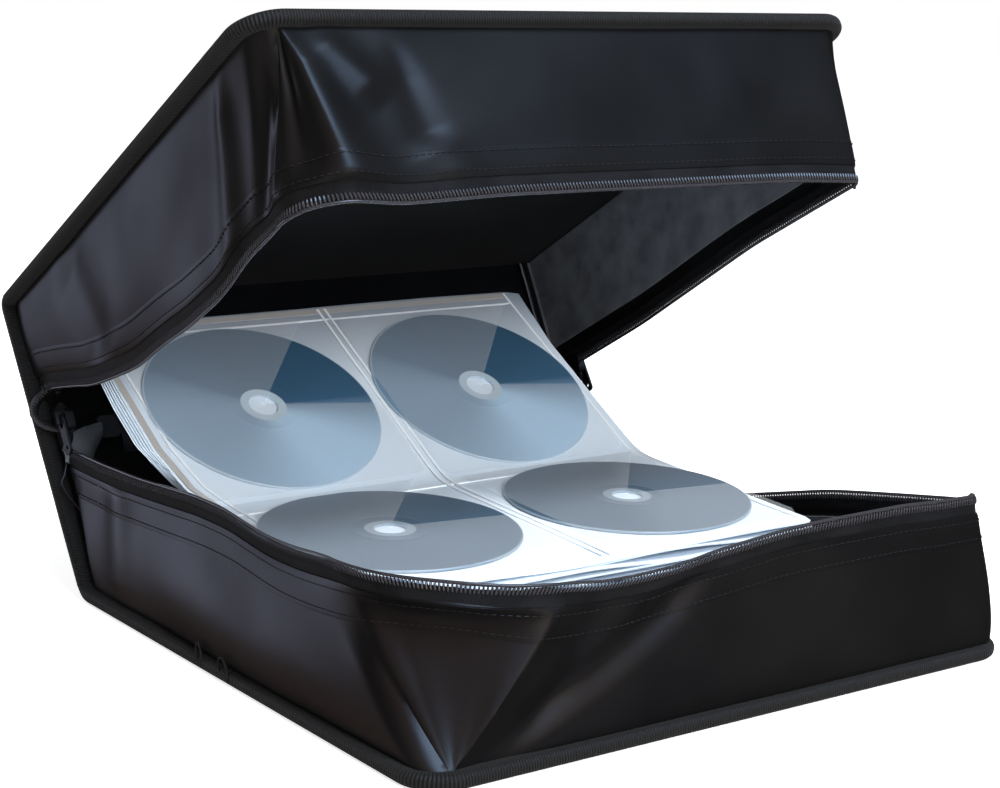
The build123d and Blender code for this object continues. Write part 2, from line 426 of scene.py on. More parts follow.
# Line round the left, front and right sides in plan, in five stretches: side, corner, front, corner, side
def uPath(half, front, rear, leftRadius, rightRadius, counts):
    side, corner, middle = counts
    t = np.linspace(0, 1, side, endpoint=False)
    left = stacked(-half, rear + (front + leftRadius - rear) * t)
    angle = np.linspace(np.pi, 1.5 * np.pi, corner, endpoint=False)
    first = np.array([-half + leftRadius, front + leftRadius]) + leftRadius * onCircle(angle)
    t = np.linspace(0, 1, middle, endpoint=False)
    across = stacked(-half + leftRadius + (2 * half - leftRadius - rightRadius) * t, front)
    angle = np.linspace(1.5 * np.pi, 2 * np.pi, corner, endpoint=False)
    second = np.array([half - rightRadius, front + rightRadius]) + rightRadius * onCircle(angle)
    t = np.linspace(0, 1, side)
    right = stacked(half, front + rightRadius + (rear - front - rightRadius) * t)
    return np.concatenate([left, first, across, second, right])


wallCounts = (90, 40, 150)
wallPlace = np.concatenate(
    [np.linspace(i, i + 1, n, endpoint=i == 4) for i, n in enumerate((*wallCounts, *wallCounts[1::-1]))]
)


# Smooth ridge of height 1 along a line in the plane of the wall, tapering to its ends
def ridge(a, h, line, width):
    ax, ay, bx, by = line
    dx, dy = bx - ax, by - ay
    length2 = dx * dx + dy * dy
    t = np.clip(((a - ax) * dx + (h - ay) * dy) / length2, -0.15, 1.15)
    off = np.hypot(a - ax - t * dx, h - ay - t * dy)
    ends = clamp(np.minimum(t + 0.15, 1.15 - t) / 0.3)
    return np.exp(-((off / width) ** 2)) * ends


# Smoothed values along the wall, from a table of places and values
def alongWall(table, width):
    places, values = np.array(table).T
    return smooth(np.interp(wallPlace, places, values), width)


# Grid of points on a wall's outer face, from its foot to its leather edge, or between heights counted down
# from the edge
def wallSurface(look, rows, low=0.0, high=None):
    foot = uPath(look["footHalf"], -look["footFront"], look["rear"], *look["footRadius"], wallCounts)
    gathered = np.interp(wallPlace, [0, 0.92, 1, 2, 5], [0, 1, look["apex"], 2, 5])
    foot = between(gathered, wallPlace, foot)
    rim = uPath(look["rimHalf"], -look["rimFront"], look["rear"], *look["rimRadius"], wallCounts)
    edge = alongWall(look["rim"], 11) - look["band"]
    inward = alongWall(look["lean"], 15)
    step = heading(rim)
    out = stacked(step[:, 1], -step[:, 0])
    rim = rim - out * inward[:, None]
    height = edge - look["footZ"]
    if high is None:
        t = np.linspace(0, 1, rows)[None, :] + 0 * height[:, None]
    else:
        t = 1 + np.linspace(low, high, rows)[None, :] / height[:, None]
    plan = foot[:, None] * (1 - t[..., None]) + rim[:, None] * t[..., None]
    z = look["footZ"] + height[:, None] * t
    run = arcLengths((foot + rim) / 2)[:, None] + 0 * t
    up = height[:, None] * t
    clipped = clamp(t)
    belly = np.sin(np.pi * clipped ** look["bellyRise"])
    push = belly * alongWall(look["belly"], 15)[:, None]
    fade = np.sin(np.pi * clamp(t * 0.94 + 0.03)) ** 0.5
    for cell, amount, seed in look["noise"]:
        push = push + fade * amount * noise(run + 500, up, cell, seed)
    for line, width, amount in look["ridges"]:
        push = push + amount * ridge(run, up, line, width)
    for place, width, amount, start in look["pleats"]:
        away = run - np.interp(place, wallPlace, run[:, 0])
        narrow = width * (0.3 + 0.7 * clamp(t))
        push = push + amount * np.exp(-((away / narrow) ** 2)) * clamp((t - start) / 0.25)
    turn = clamp(wallPlace - 1) * math.pi / 2
    sagitta = look["rimRadius"][0] * (np.cos(turn - math.pi / 4) - math.cos(math.pi / 4))
    near, far = look["soften"]
    opening = np.sin(clamp((wallPlace - 1) / near) * math.pi / 2)
    closing = np.sin(clamp((2 - wallPlace) / far) * math.pi / 2)
    push = push - look["facet"] * (opening * closing * sagitta)[:, None] * clipped * (1 - clipped**8)
    push = push * clamp((1.06 - t) / 0.1)
    points = np.concatenate([plan + out[:, None] * push[..., None], z[..., None]], axis=-1)
    return points, out


# What both walls share: the foot's outline in plan, the rim's, and the height of the zip's band
wallShared = {
    "footHalf": 158.6, "footFront": 147.6, "footZ": 5.6, "rimHalf": 157.0, "rimFront": 145.0, "band": 7.5,
    "apex": 1.92,  # the left side's foot goes this far round the corner, to the point of its facet
}
# What shapes the walls. A place along one runs 0 to 1 up the left side to the corner, 1 to 2 round it,
# 2 to 3 along the front, then the same on the right. Ridges are lines in millimetres along and up the wall
baseWall = wallShared | {
    "footRadius": (12.0, 9.0),
    "rimRadius": (60.0, 14.0),
    "rear": 142.0,
    "rim": (
        (0, 69), (0.18, 70), (0.32, 72), (0.45, 74), (0.58, 74), (0.66, 72), (0.75, 70.5), (0.85, 71),
        (1, 74), (1.5, 74.5), (2, 71), (2.07, 69), (2.15, 69), (2.24, 70), (2.32, 73), (2.41, 75), (2.5, 77),
        (2.6, 77.6), (2.8, 78), (2.9, 76.5), (3, 76), (3.5, 75), (4, 71), (4.13, 65.5), (4.2, 62.5),
        (4.31, 57.5), (4.44, 49), (4.55, 42), (4.75, 38), (5, 48),
    ),
    "lean": ((0, 0), (2.8, 0), (3.2, 3), (3.5, 5), (4, 5), (4.3, 9), (4.6, 15), (5, 4)),
    "end": ((0, 143), (11, 145), (17, 148), (33, 156), (51, 167), (64, 178), (69, 183), (80, 190)),
    "facet": 0.85,  # how flat the leather lies across its corner, below the curve of the rim
    "soften": (0.2, 0.03),
    "bellyRise": 0.66,
    "belly": (
        (0, 1.5), (0.4, 6), (0.8, 5), (1, 1.5), (1.5, 0), (2, 0.5), (2.3, 2), (2.7, 5), (3, 4), (3.4, 2),
        (4, 4), (5, 2),
    ),
    "noise": ((80, 1.5, 3), (30, 0.35, 8)),
    "ridges": (((316, 2, 388, 60), 11, -3.2), ((250, 26, 262, 52), 8, 0.8), ((28, 4, 24, 60), 14, 1.6)),
    "pleats": ((2.0, 9.0, 1.6, 0.1), (2.1, 15.0, -1.6, 0.1)),
}
lidWall = wallShared | {
    "footRadius": (12.0, 13.0),
    "rimRadius": (26.0, 14.0),
    "rear": 138.0,
    "rim": (
        (0, 55), (0.134, 66), (0.21, 73), (0.3, 78), (0.42, 84), (0.55, 85), (0.66, 87.6), (0.77, 87),
        (0.83, 84), (0.885, 80), (0.937, 79.5), (1, 79), (1.5, 80), (2, 82), (2.07, 84), (2.165, 83),
        (2.26, 82), (2.66, 82), (2.88, 82), (3, 83), (3.5, 84), (4, 82), (4.3, 78), (4.7, 79), (5, 76),
    ),
    "lean": ((0, 0), (0.7, 0), (0.9, 4), (1, 5), (1.5, 2), (2, 0), (2.8, 2), (3.3, 9), (4, 8), (5, 2)),
    "end": ((0, 143.5), (60, 141.6), (80, 141)),
    "facet": 0.9,
    "soften": (0.16, 0.3),
    "bellyRise": 0.85,
    "belly": (
        (0, 1), (0.5, 2), (0.85, -1), (1, -1), (1.5, -1), (2, 1), (2.5, 2), (3, 1), (3.5, -2), (4, 1), (5, 1)
    ),
    "noise": ((60, 1.4, 13), (26, 0.35, 18)),
    "ridges": (((336, 54, 346, 82), 12, 3.2), ((304, 6, 320, 32), 10, 3.0), ((60, 6, 84, 60), 16, -2.0)),
    "pleats": (
        (0.84, 12.0, 1.8, 0.0), (0.96, 6.0, -2.0, 0.05), (1.2, 5.0, 1.2, 0.0), (1.6, 6.0, -1.8, 0.1),
        (2.0, 20.0, 4.0, 0.0), (2.16, 12.0, -1.6, 0.1),
    ),
}


# Even places along the middle row of a three-row grid, with their axes along it, up the wall and outwards
def alongRow(grid, pitch):
    line = grid[:, 1]
    up = grid[:, 2] - grid[:, 0]
    lengths = arcLengths(line)
    at = (np.arange(int(lengths[-1] / pitch)) + 0.5) * pitch

    def spread(values, shift=0.0):
        return between(at + shift, lengths, values)

    ahead = unitRows(spread(line, 0.4) - spread(line, -0.4))
    upward = unitRows(spread(up))
    return spread(line), ahead, upward, unitRows(np.cross(ahead, upward))


zipLook = {"tape": 0.9, "core": 0.8, "pitch": 1.7, "tooth": (3.2, 0.52), "proud": 0.75, "place": 1.0}
stitch = {"pitch": 3.2, "length": 2.1, "radius": 0.3, "proud": 0.4, "rows": (2.6, 10.8)}
# Thickness of a wall's layers, how far its lining stands in, and the hem's span and height, row by row
wallLayers = {
    "skin": 1.9, "hem": 1.6, "lining": 0.8, "liningGap": 2.4, "tapeInset": 0.5, "coilInset": 0.95,
    "hemSpan": (-14.0, 0.3),
    "tapeSpan": (-4.0, -0.6),  # from the leather's edge to the coil's side of the band
    "hemLift": (-0.3, 0.0, 0.08, 0.1, 0.16, 0.2, 0.22, 0.24, 0.25, 0.2, 0.28, 0.1),
}


# Carries a wall's grid on from its rear edge to the spine, where it curls inwards
def wallEnd(grid, look, hand, radius=4.0):
    edge = grid[0] if hand == "Left" else grid[-1]
    inward = 1 if hand == "Left" else -1
    heights, ends = np.array(look["end"]).T
    run = np.interp(edge[:, 2], heights, ends) - edge[:, 1]
    s = np.linspace(0, 1, 14)[:, None]
    straight = stacked(edge[:, 0], edge[:, 1] + run * s, edge[:, 2])
    angle = np.radians(np.linspace(18, 165, 9))[:, None]
    x = edge[:, 0] + inward * radius * (1 - np.cos(angle))
    y = edge[:, 1] + run + radius * np.sin(angle)
    curl = stacked(x, y, edge[:, 2])
    both = np.concatenate([straight, curl])
    return both[::-1] if hand == "Left" else both


# The two ends of a wall's layer, running from the half in front to the spine behind
def addEnds(name, grid, layer, look, prefix, place, material):
    for hand in ("Left", "Right"):
        end = wallEnd(grid, look, hand)
        made = addPiece(prefix + name + hand, layer(end), place, None, material)
        middle = end[:, end.shape[1] // 2]
        points = place(middle if hand == "Right" else middle[::-1]) * 0.001
        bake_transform(made)


# One row of stitches along the middle of a grid
def stitches(grid):
    centre, ahead, upward, normal = alongRow(grid, stitch["pitch"])
    unit, unitFaces = capsule(stitch["length"], stitch["radius"])
    return scatter(unit, unitFaces, centre + normal * stitch["proud"], ahead, upward, normal)


# Coil of the zip along the middle of a grid: turns of nylon that hold both faces of the tape's edge
def coil(grid):
    centre, ahead, upward, normal = alongRow(grid, zipLook["pitch"])
    unit, unitFaces = capsule(zipLook["tooth"][0], zipLook["tooth"][1], 6, 5)
    centres = np.concatenate([centre + normal * zipLook["proud"], centre - normal * zipLook["proud"]])
    ahead, upward, normal = (np.concatenate([v, v]) for v in (ahead, upward, normal))
    return scatter(unit, unitFaces, centres, upward, normal, ahead)


# Cord inside the coil, at the very edge of the tape
def core(grid):
    line = grid[:, 1] + (grid[:, 2] - grid[:, 0]) * 0.7
    up = unitRows(grid[:, 2] - grid[:, 0])
    section = onCircle(np.linspace(0, 2 * np.pi, 10, endpoint=False)) * zipLook["core"]
    return sweep(section, line, np.cross(heading(line), up), up)


# One half's wall of leatherette with its hem, stitching, lining, zip tape and coil
def buildWall(prefix, look, place):
    def both(name, grid, layer, material, slot, node=None):
        made = addPiece(prefix + name, layer(grid), place, prefix, material)
        if node:
            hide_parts(prefix + node)
        addEnds(name + "End", grid, layer, look, prefix, place, material)

    def sheet(thickness):
        return lambda grid: slab(grid, thickness)

    hide = leather if prefix == "base" else lidLeather
    points, out = wallSurface(look, 44)
    both("WallSkin", points, sheet(wallLayers["skin"]), hide, "leatherette", "_wall")
    hem = wallSurface(look, 12, *wallLayers["hemSpan"])[0]
    hem = hem + gridNormals(hem) * np.array(wallLayers["hemLift"])[None, :, None]
    both("Hem", hem, sheet(wallLayers["hem"]), hide, "leatherette")
    for i, drop in enumerate(stitch["rows"]):
        line = wallSurface(look, 3, -drop - 0.5, -drop + 0.5)[0]
        both(f"Stitches{i + 1}", line, stitches, thread, "leatherette")
    inside = wallSurface(look, 30)[0][:, :27]
    inside[..., :2] -= out[:, None] * wallLayers["liningGap"]
    both("WallLining", inside, sheet(wallLayers["lining"]), wallCloth, "nylon_lining", "_wall_lining")
    low, high = wallLayers["tapeSpan"]
    band = wallSurface(look, 7, low, look["band"] + high)[0]
    band = band - gridNormals(band) * wallLayers["tapeInset"]
    both("ZipTape", band, sheet(zipLook["tape"]), tapeCloth, "zip_tape", "_zip_tape")
    top = look["band"] - zipLook["place"]
    edge = wallSurface(look, 3, top - 1.5, top + 1.5)[0]
    edge = edge - gridNormals(edge) * wallLayers["coilInset"]
    both("ZipCoil", edge, coil, coilPlastic, "zip_teeth", "_zip_teeth")
    both("ZipCore", edge, core, coilPlastic, "zip_teeth")


buildWall("base", baseWall, onBase)
buildWall("lid", lidWall, onLid)
print("walls made")

binding = {"section": roundedSection(case["beadWidth"], case["beadHeight"], 2.9, 6), "inset": 4.5}
beadLine = case["halfWidth"] - binding["inset"]  # middle of the bead, left and right


# Map of a bead in millimetres: along its path, and round its section
def bindingUv(path, section):
    around = arcLengths(np.concatenate([section, section[:1]]))[:-1]
    u, v = np.meshgrid(arcLengths(path), around, indexing="ij")
    return stacked(u, v)


# Bead of grosgrain along a path, its section's two axes along side and up
def addBead(name, path, side, up, place, body, section=binding["section"]):
    side, up = (np.broadcast_to(v, path.shape) for v in (side, up))
    solid = sweep(section, path, side, up)
    return addPiece(name, solid, place, body, grosgrain, bindingUv(path, section), sharp=60)


# Bead of grosgrain round the left, front and right edges of a half's cover
def buildBinding(prefix, place):
    radius = case["cornerRadius"] - binding["inset"]
    rear = case["foldY"] - case["beadEndGap"]
    plan = uPath(beadLine, -case["halfDepth"] + binding["inset"], rear, radius, radius, (60, 14, 60))
    path = np.concatenate([plan, np.full((len(plan), 1), case["beadHeight"] / 2)], axis=1)
    up = [0.0, 0.0, 1.0]
    made = addBead(prefix + "Binding", path, np.cross(heading(path), up), up, place, prefix)
    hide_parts(prefix + "_binding")


buildBinding("base", onBase)
buildBinding("lid", onLid)


# Grid of points that runs along x, every row the same line in y and z
def strip(x, y, z):
    return stacked(x[:, None], y, z)


# Points of a quadratic curve
def bezier(first, control, last, count):
    t = np.linspace(0, 1, count)[:, None]
    return first * (1 - t) ** 2 + 2 * control * t * (1 - t) + last * t**2


# Where two lines in the y z plane meet
def meeting(p, d, q, e):
    m = np.array([[d[1], -e[1]], [d[2], -e[2]]])
    a = np.linalg.solve(m, np.array([q[1] - p[1], q[2] - p[2]]))[0]
    return p + a * d


# Curve from a half's cover over the fold to the spine, at a depth below the cover's outer face
def foldPath(which, depth, startGap, count=16):
    place = onBase if which == "base" else onLid
    halfPoint = np.array([0.0, case["foldY"] - startGap, depth])
    tall = startGap if which == "base" else case["spineTall"] - startGap
    spinePoint = np.array([0.0, case["cover"] / 2 - depth, tall])
    p = place(halfPoint)
    d = place(halfPoint + [0, 1, 0]) - p
    q = onSpine(spinePoint)
    e = onSpine(spinePoint + [0, 0, 1]) - q
    return bezier(p, meeting(p, d, q, e), q, count)


foldLook = {"beadGap": 0.8, "gap": 3.2, "half": 155.5, "thickness": 0.9}
foldLayers = (("Skin", 0.0, leather, "leatherette"), ("Lining", 3.5, liningCloth, "nylon_lining"))
for which in ("base", "lid"):
    path = foldPath(which, case["beadHeight"] / 2, case["beadEndGap"] + foldLook["beadGap"])
    side = [1.0, 0.0, 0.0]
    up = np.cross(heading(path), side)
    wide = 1 + case["flare"][1 if which == "base" else 2]
    for hand, x in (("Left", -wide), ("Right", wide)):
        line = path + [x * beadLine, 0, 0]
        made = addBead(which + "FoldBead" + hand, line, side, up, asDrawn, None)
        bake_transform(made)
    for layer, depth, material, slot in foldLayers:
        path = foldPath(which, depth, foldLook["gap"], 14)
        x = np.linspace(-foldLook["half"], foldLook["half"], 60) * wide
        thickness = foldLook["thickness"] * (-1 if which == "base" else 1)
        solid = slab(strip(x, path[:, 1], path[:, 2]), thickness)
        made = addPiece(which + "Fold" + layer, solid, asDrawn, None, material)
        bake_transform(made)
        if layer == "Skin":
            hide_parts(which + "_fold")


# Sheet with two rounded front corners that swells softly between its edges, to the side of its thickness
def panel(half, front, rear, radius, z, puff, seed, thickness):
    u = np.linspace(-1, 1, 70)
    v = np.linspace(0, 1, 70)
    gridU, gridV = np.meshgrid(u, v, indexing="ij")
    x = gridU * half
    inside = np.clip(np.abs(x) - (half - radius), 0, radius)
    start = front + radius - np.sqrt(np.maximum(radius**2 - inside**2, 0))
    y = start + (rear - start) * gridV
    swell = (1 - gridU**6) * (1 - (2 * gridV - 1) ** 6)
    away = puff * swell * (0.75 + 0.35 * noise(x + 400, y + 400, 70, seed))
    sheet = stacked(x, y, z + away)
    return slab(sheet, thickness)


coverRadius = 11.0
# Skins and linings of base and lid: frame, half width, front, rear, level, swelling and thickness of each
covers = (
    ("base", "Skin", onBase, 156.0, -145.0, 148.2, 0.35, 0.0, 0.9, leather, "leatherette"),
    ("base", "Lining", onBase, 155.0, -144.0, 148.0, 4.7, 0.5, 0.7, liningCloth, "nylon_lining"),
    ("lid", "Skin", onLid, 156.0, -145.0, 148.2, 0.1, -1.6, 0.9, leather, "leatherette"),
    ("lid", "Lining", onLid, 155.0, -144.0, 148.0, 4.7, 1.6, 0.7, liningCloth, "nylon_lining"),
)
for i, (half, layer, place, wide, front, rear, z, puff, thickness, material, slot) in enumerate(covers):
    solid = panel(wide, front, rear, coverRadius, z, puff, 50 + i, thickness)
    made = addPiece(half + "Cover" + layer, solid, place, half, material)
    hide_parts(half + "_" + layer.lower())
spineLayers = (
    ("skin", 2.0, 0.9, 0.7, leather, "leatherette"),
    ("lining", -2.5, -0.4, -0.7, liningCloth, "nylon_lining"),
)
for layer, depth, puff, thickness, material, slot in spineLayers:
    shape, faces = panel(156.0, 3.0, 158.5, 1.0, depth, puff, 60, thickness)
    solid = (shape[:, [0, 2, 1]], faces)
    made = addPiece("spineCover" + layer.title(), solid, onSpine, "spine", material)
    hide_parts("spine_" + layer)

for hand, x in (("left", -1), ("right", 1)):
    tall = np.linspace(case["beadEndGap"], case["spineTall"] - case["beadEndGap"], 40)
    depth = case["cover"] / 2 - case["beadHeight"] / 2
    path = stacked(x * beadLine, depth, tall)
    made = addBead("spineBinding" + hand.title(), path, [1.0, 0.0, 0.0], [0.0, 1.0, 0.0], onSpine, "spine")
    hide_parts("spine_binding_" + hand)

# The end of the zip at the left of the spine: the coil turns back in a loop of tape, and a nylon tab joins
# it to the base. Lines are x and height in the spine frame, each a depth in front of the spine
zipEnd = {
    "loop": (
        (-151.5, 109.5), (-157.0, 107.0), (-162.5, 103.6), (-166.0, 99.0), (-166.8, 94.2), (-164.6, 89.4),
        (-160.4, 86.4), (-154.6, 84.4), (-149.0, 83.0),
    ),
    "depth": 8.0, "cord": 1.1, "coilOut": 0.6,
    "drawn": 0.25,  # share of the loop's size left at its heart
    "dip": 7.0, "thickness": 0.8, "tabDepths": (13.0, 9.0), "tabThickness": 0.9, "wireDepth": 9.5,
    "heart": (-149.0, -3.0, 96.0),  # where the loop's tape is drawn together
    "wire": 0.45,
    "tabTop": ((-158.5, 72.5), (-155.0, 78.4), (-149.7, 81.5), (-142.0, 83.6), (-134.3, 85.2)),
    "tabLow": ((-157.0, 67.0), (-150.0, 64.5), (-144.0, 63.0), (-141.0, 70.0), (-135.5, 77.0)),
    "frays": (
        ((-156.2, 67.4), (-159.3, 59.6), (-162.0, 57.4), (-161.0, 51.9), (-154.8, 37.5)),
        ((-153.8, 81.9), (-153.4, 84.5), (-148.2, 83.4), (-145.5, 83.6), (-141.7, 85.4)),
    ),
}


# Points at even steps along a smooth curve through the given ones
def resample(line, count):
    line = np.array(line, float)
    lengths = arcLengths(line)
    at = np.linspace(0, lengths[-1], count)
    fine = between(at, lengths, line)
    ends = fine[[0, -1]].copy()
    fine = stacked(*(smooth(column, count // len(line)) for column in fine.T))
    fine[[0, -1]] = ends
    return fine


# Closed round tube along a path
def roundTube(path, radius, sides=8):
    ahead = heading(path)
    side = unitRows(np.cross(ahead, [0.13, 0.97, 0.2]))
    section = onCircle(np.linspace(0, 2 * np.pi, sides, endpoint=False)) * radius
    return sweep(section, path, side, np.cross(ahead, side))


# Line of x and height in the spine frame, brought a depth forward of the spine
def inSpine(line, depth, count=60):
    flat = resample(line, count)
    return stacked(flat[:, 0], -depth, flat[:, 1])


loop = inSpine(zipEnd["loop"], zipEnd["depth"])
addPiece("zipLoopCore", roundTube(loop, zipEnd["cord"]), onSpine, "spine", coilPlastic)
at = np.linspace(0, len(loop) - 1, int(arcLengths(loop)[-1] / zipLook["pitch"]))
turns, along = (between(at, np.arange(len(loop)), line) for line in (loop, heading(loop)))
side = unitRows(np.cross(along, [0.0, 1.0, 0.0]))
unit, unitFaces = capsule(zipLook["tooth"][0], zipLook["tooth"][1], 6, 5)
solid = scatter(unit, unitFaces, turns + side * zipEnd["coilOut"], side, np.cross(along, side), along)
addPiece("zipLoopCoil", solid, onSpine, "spine", coilPlastic)
share = np.linspace(0, 1, 14)[None, :, None]
heart = np.array(zipEnd["heart"])
pocket = loop[:, None] * (1 - share) + (heart + (loop[:, None] - heart) * zipEnd["drawn"]) * share
pocket[..., 1] += zipEnd["dip"] * np.sin(np.pi * share[..., 0] / 2) ** 2
addPiece("zipLoopTape", slab(pocket, zipEnd["thickness"]), onSpine, "spine", tapeCloth)
lines = (zipEnd["tabTop"], zipEnd["tabLow"])
top, low = (inSpine(line, depth, 30) for line, depth in zip(lines, zipEnd["tabDepths"]))
tab = low[:, None] * (1 - share) + top[:, None] * share
tab[..., 1] -= 2.5 * np.sin(np.pi * share[..., 0]) + 1.2 * noise(tab[..., 0] + 300, tab[..., 2], 7, 41)
addPiece("zipTab", slab(tab, zipEnd["tabThickness"]), onSpine, "spine", wallCloth)
for i, line in enumerate(zipEnd["frays"]):
    solid = roundTube(inSpine(line, zipEnd["wireDepth"], 40), zipEnd["wire"])
    addPiece(f"zipWire{i + 1}", solid, onSpine, "spine", steel)

# Loose ends of sewing thread where the base's binding is joined on the left: y, z, width and height of each
threadLoops = ((26.0, 5.5, 5.0, 8.0), (4.0, 5.0, 8.0, 7.5))
threadRadius = 0.5
for i, (y, z, wide, high) in enumerate(threadLoops):
    angle = np.linspace(-0.3, math.pi + 0.3, 30)
    x = -case["halfWidth"] - 1.2 * np.sin(angle)
    path = stacked(x, y + wide / 2 * np.cos(angle), z + high * np.sin(angle))
    addPiece(f"threadLoop{i + 1}", roundTube(path, threadRadius), onBase, "base", thread)
y = np.linspace(0, 25, 12)
path = stacked(-beadLine, y, case["beadHeight"] / 2 + 0.3)
joinSection = roundedSection(9.6, 6.9, 2.9, 6)
addBead("bindingJoin", path, [1.0, 0.0, 0.0], [0.0, 0.0, 1.0], onBase, "base", joinSection)
print("bindings, folds and zip end made")


# Milky polypropylene of the sleeves, painted greyer towards the crest: painted shade for the shade that the
# lid casts there
def filmMaterial(name, look):
    made, tree = newMaterial(name)
    place = addNode(tree, "TexCoord")
    split = addNode(tree, "SeparateXYZ", {"Vector": (place, "Object")})
    inputs = {"Value": (split, "Z"), "From Min": look["from"], "From Max": look["to"]}
    height = addNode(tree, "MapRange", inputs)
    tone = colourRamp(tree, (height, "Result"), ((0.0, look["colour"]), (1.0, look["crest"])))
    finishMaterial(tree, {"Base Color": (tone, "Color"), "Roughness": look["rough"], "IOR": 1.49})
    return made


# Film colour, and the grey of the painted shade at the crest, reached between the heights from and to, in
# metres
filmLook = {"colour": "#d3e1ee", "crest": "#8e97a4", "from": 0.1, "to": 0.132, "rough": 0.35}
sleeveFilm = filmMaterial("sleeveFilm", filmLook)
# The same film where it is welded or folded, whiter or greyer
weldFilm = plainMaterial("weldedFilm", {"colour": "#eef4fa", "rough": 0.3})
edgeFilm = plainMaterial("edgeFilm", {"colour": "#aaa8a6", "rough": 0.4})
sleeves = {
    "middle": -20.0, "leftEdge": -155.0, "rightEdge": 104.0, "pitch": 131.8, "frontRow": (-13.5, 61.0),
    "frontTilt": math.radians(2.6), "backRow": (110.3, 97.3), "backTilt": math.radians(30.0),
    "front": -82.0, "reach": 72.0,
    "drop": 0.95,  # top sheet below the discs' middles
    "thickness": 0.6, "wave": 0.35, "corner": 9.0,
    "bend": 2.2,  # how softly the sleeve turns up to its crest
    "clear": (-150.5, 72.0, 14.0, 9.0),  # left edge at the wall's top, its height, and the slopes' heights
}


# Side view of a raised sleeve's upper face, nearly level in front, then up to its crest
def sleeveLine(front, rear, drop, count=90):
    slope, climb = math.tan(sleeves["frontTilt"]), math.tan(sleeves["backTilt"])
    fy, fz = sleeves["frontRow"]
    by, bz = sleeves["backRow"]
    y = np.linspace(front, rear, count)
    flat = fz + (y - fy) * slope
    steep = bz + (y - by) * climb
    soft = sleeves["bend"]
    z = soft * np.logaddexp(flat / soft, steep / soft) - drop
    return y, z


# How far left a raised sleeve reaches at a height: it keeps clear of the wall of the base
def leftLimit(z, edge):
    side, top, rise, tuck = sleeves["clear"]
    return side + clamp((z - top) / rise) * (edge - side) + clamp((top - z) / tuck) * tuck


# One sheet of a sleeve with softly waving surface and free edges
def sleeveSheet(name, front, rear, drop, seed, x0, x1):
    y, z = sleeveLine(front, rear, drop)
    x = np.linspace(x0, x1, 100)
    gridX, gridY = np.meshgrid(x, y, indexing="ij")
    gridZ = np.tile(z, (100, 1)) + sleeves["wave"] * noise(gridX + 400, gridY + 400, 45, seed)
    edge = clamp((front + 30 - gridY) / 30) ** 2
    gridZ = gridZ + edge * 1.6 * noise(gridX + 400, gridY * 0, 60, seed + 5)
    gridY = gridY + edge * 2.2 * noise(gridX + 400, gridY * 0, 90, seed + 9)
    corner = sleeves["corner"]
    for cx, sx in ((x0 + corner, -1), (x1 - corner, 1)):
        inside = np.clip((gridX - cx) * sx, 0, corner)
        cut = corner - np.sqrt(np.maximum(corner**2 - inside**2, 0))
        near = clamp((front + 40 - gridY) / 40)
        far = clamp((gridY - rear + 40) / 40)
        gridY = gridY + cut * near - cut * far
    gridX = np.maximum(gridX, leftLimit(gridZ, x0))
    solid = slab(stacked(gridX, gridY, gridZ), sleeves["thickness"])
    return addPiece(name, solid, asDrawn, "sleeves", sleeveFilm)


crest = sleeves["backRow"][0] + sleeves["reach"] * math.cos(sleeves["backTilt"])
for i in range(3):
    for k in range(2):
        made = sleeveSheet(
            f"sleeveRaised{i + 1}Sheet{k + 1}",
            sleeves["front"] - 2.5 * i - 1.2 * k,
            crest - 1.5 * i,
            sleeves["drop"] + 3.6 * i + 1.5 * k,
            20 + 3 * i + k,
            sleeves["leftEdge"] - 0.9 * i - 0.5 * k,
            sleeves["rightEdge"] + 0.6 * (i % 2),
        )
        if k == 0:
            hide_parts(f"sleeve_raised_{i + 1}")

# Weld lines and edges of the top sleeve: lines along it at an x with its width, and lines across it at a y
welds = {
    "along": (
        (-21.9, 1.3, "weld"), (-17.6, 1.3, "weld"), (-146.5, 1.1, "weld"), (98.5, 1.1, "weld"),
        (-152.6, 3.0, "edge"),
    ),
    "across": ((45.5, 1.4, "weld"), (169.5, 3.5, "edge"), (163.5, 1.0, "weld")),
    "height": 0.2,
    "thickness": 0.5,
}
filmOf = {"weld": weldFilm, "edge": edgeFilm}
frontEdge = sleeves["front"] + 4
for i, (x, wide, kind) in enumerate(welds["along"]):
    y, z = sleeveLine(frontEdge, crest - 2, sleeves["drop"] - welds["height"], 120)
    across = x + (x < -100) * (leftLimit(z, sleeves["leftEdge"]) - sleeves["leftEdge"])
    line = np.stack([stacked(across + side * wide / 2, y, z) for side in (-1, 1)], axis=1)
    addPiece(f"weldAlong{i + 1}", slab(line, welds["thickness"]), asDrawn, "sleeves", filmOf[kind])
for i, (y0, wide, kind) in enumerate(welds["across"]):
    y, z = sleeveLine(y0 - wide / 2, y0 + wide / 2, sleeves["drop"] - welds["height"], 4)
    x = np.linspace(-149 if y0 > 100 else -138, 102, 60)
    solid = slab(strip(x, y, z), welds["thickness"])
    addPiece(f"weldAcross{i + 1}", solid, asDrawn, "sleeves", filmOf[kind])

# Discs: polycarbonate over a metal layer, with a sheen round the middle that is painted into their colour
disc = {"radius": 60.0, "hole": 7.5, "thickness": 1.2}
# Painted sheen of the discs: how much brighter one side is than the other, the sum's limits, and the angles
# at which the two waves start
sheen = {"lower": 2.2, "span": 2.8, "turn": 1.2, "tilt": 1.75}
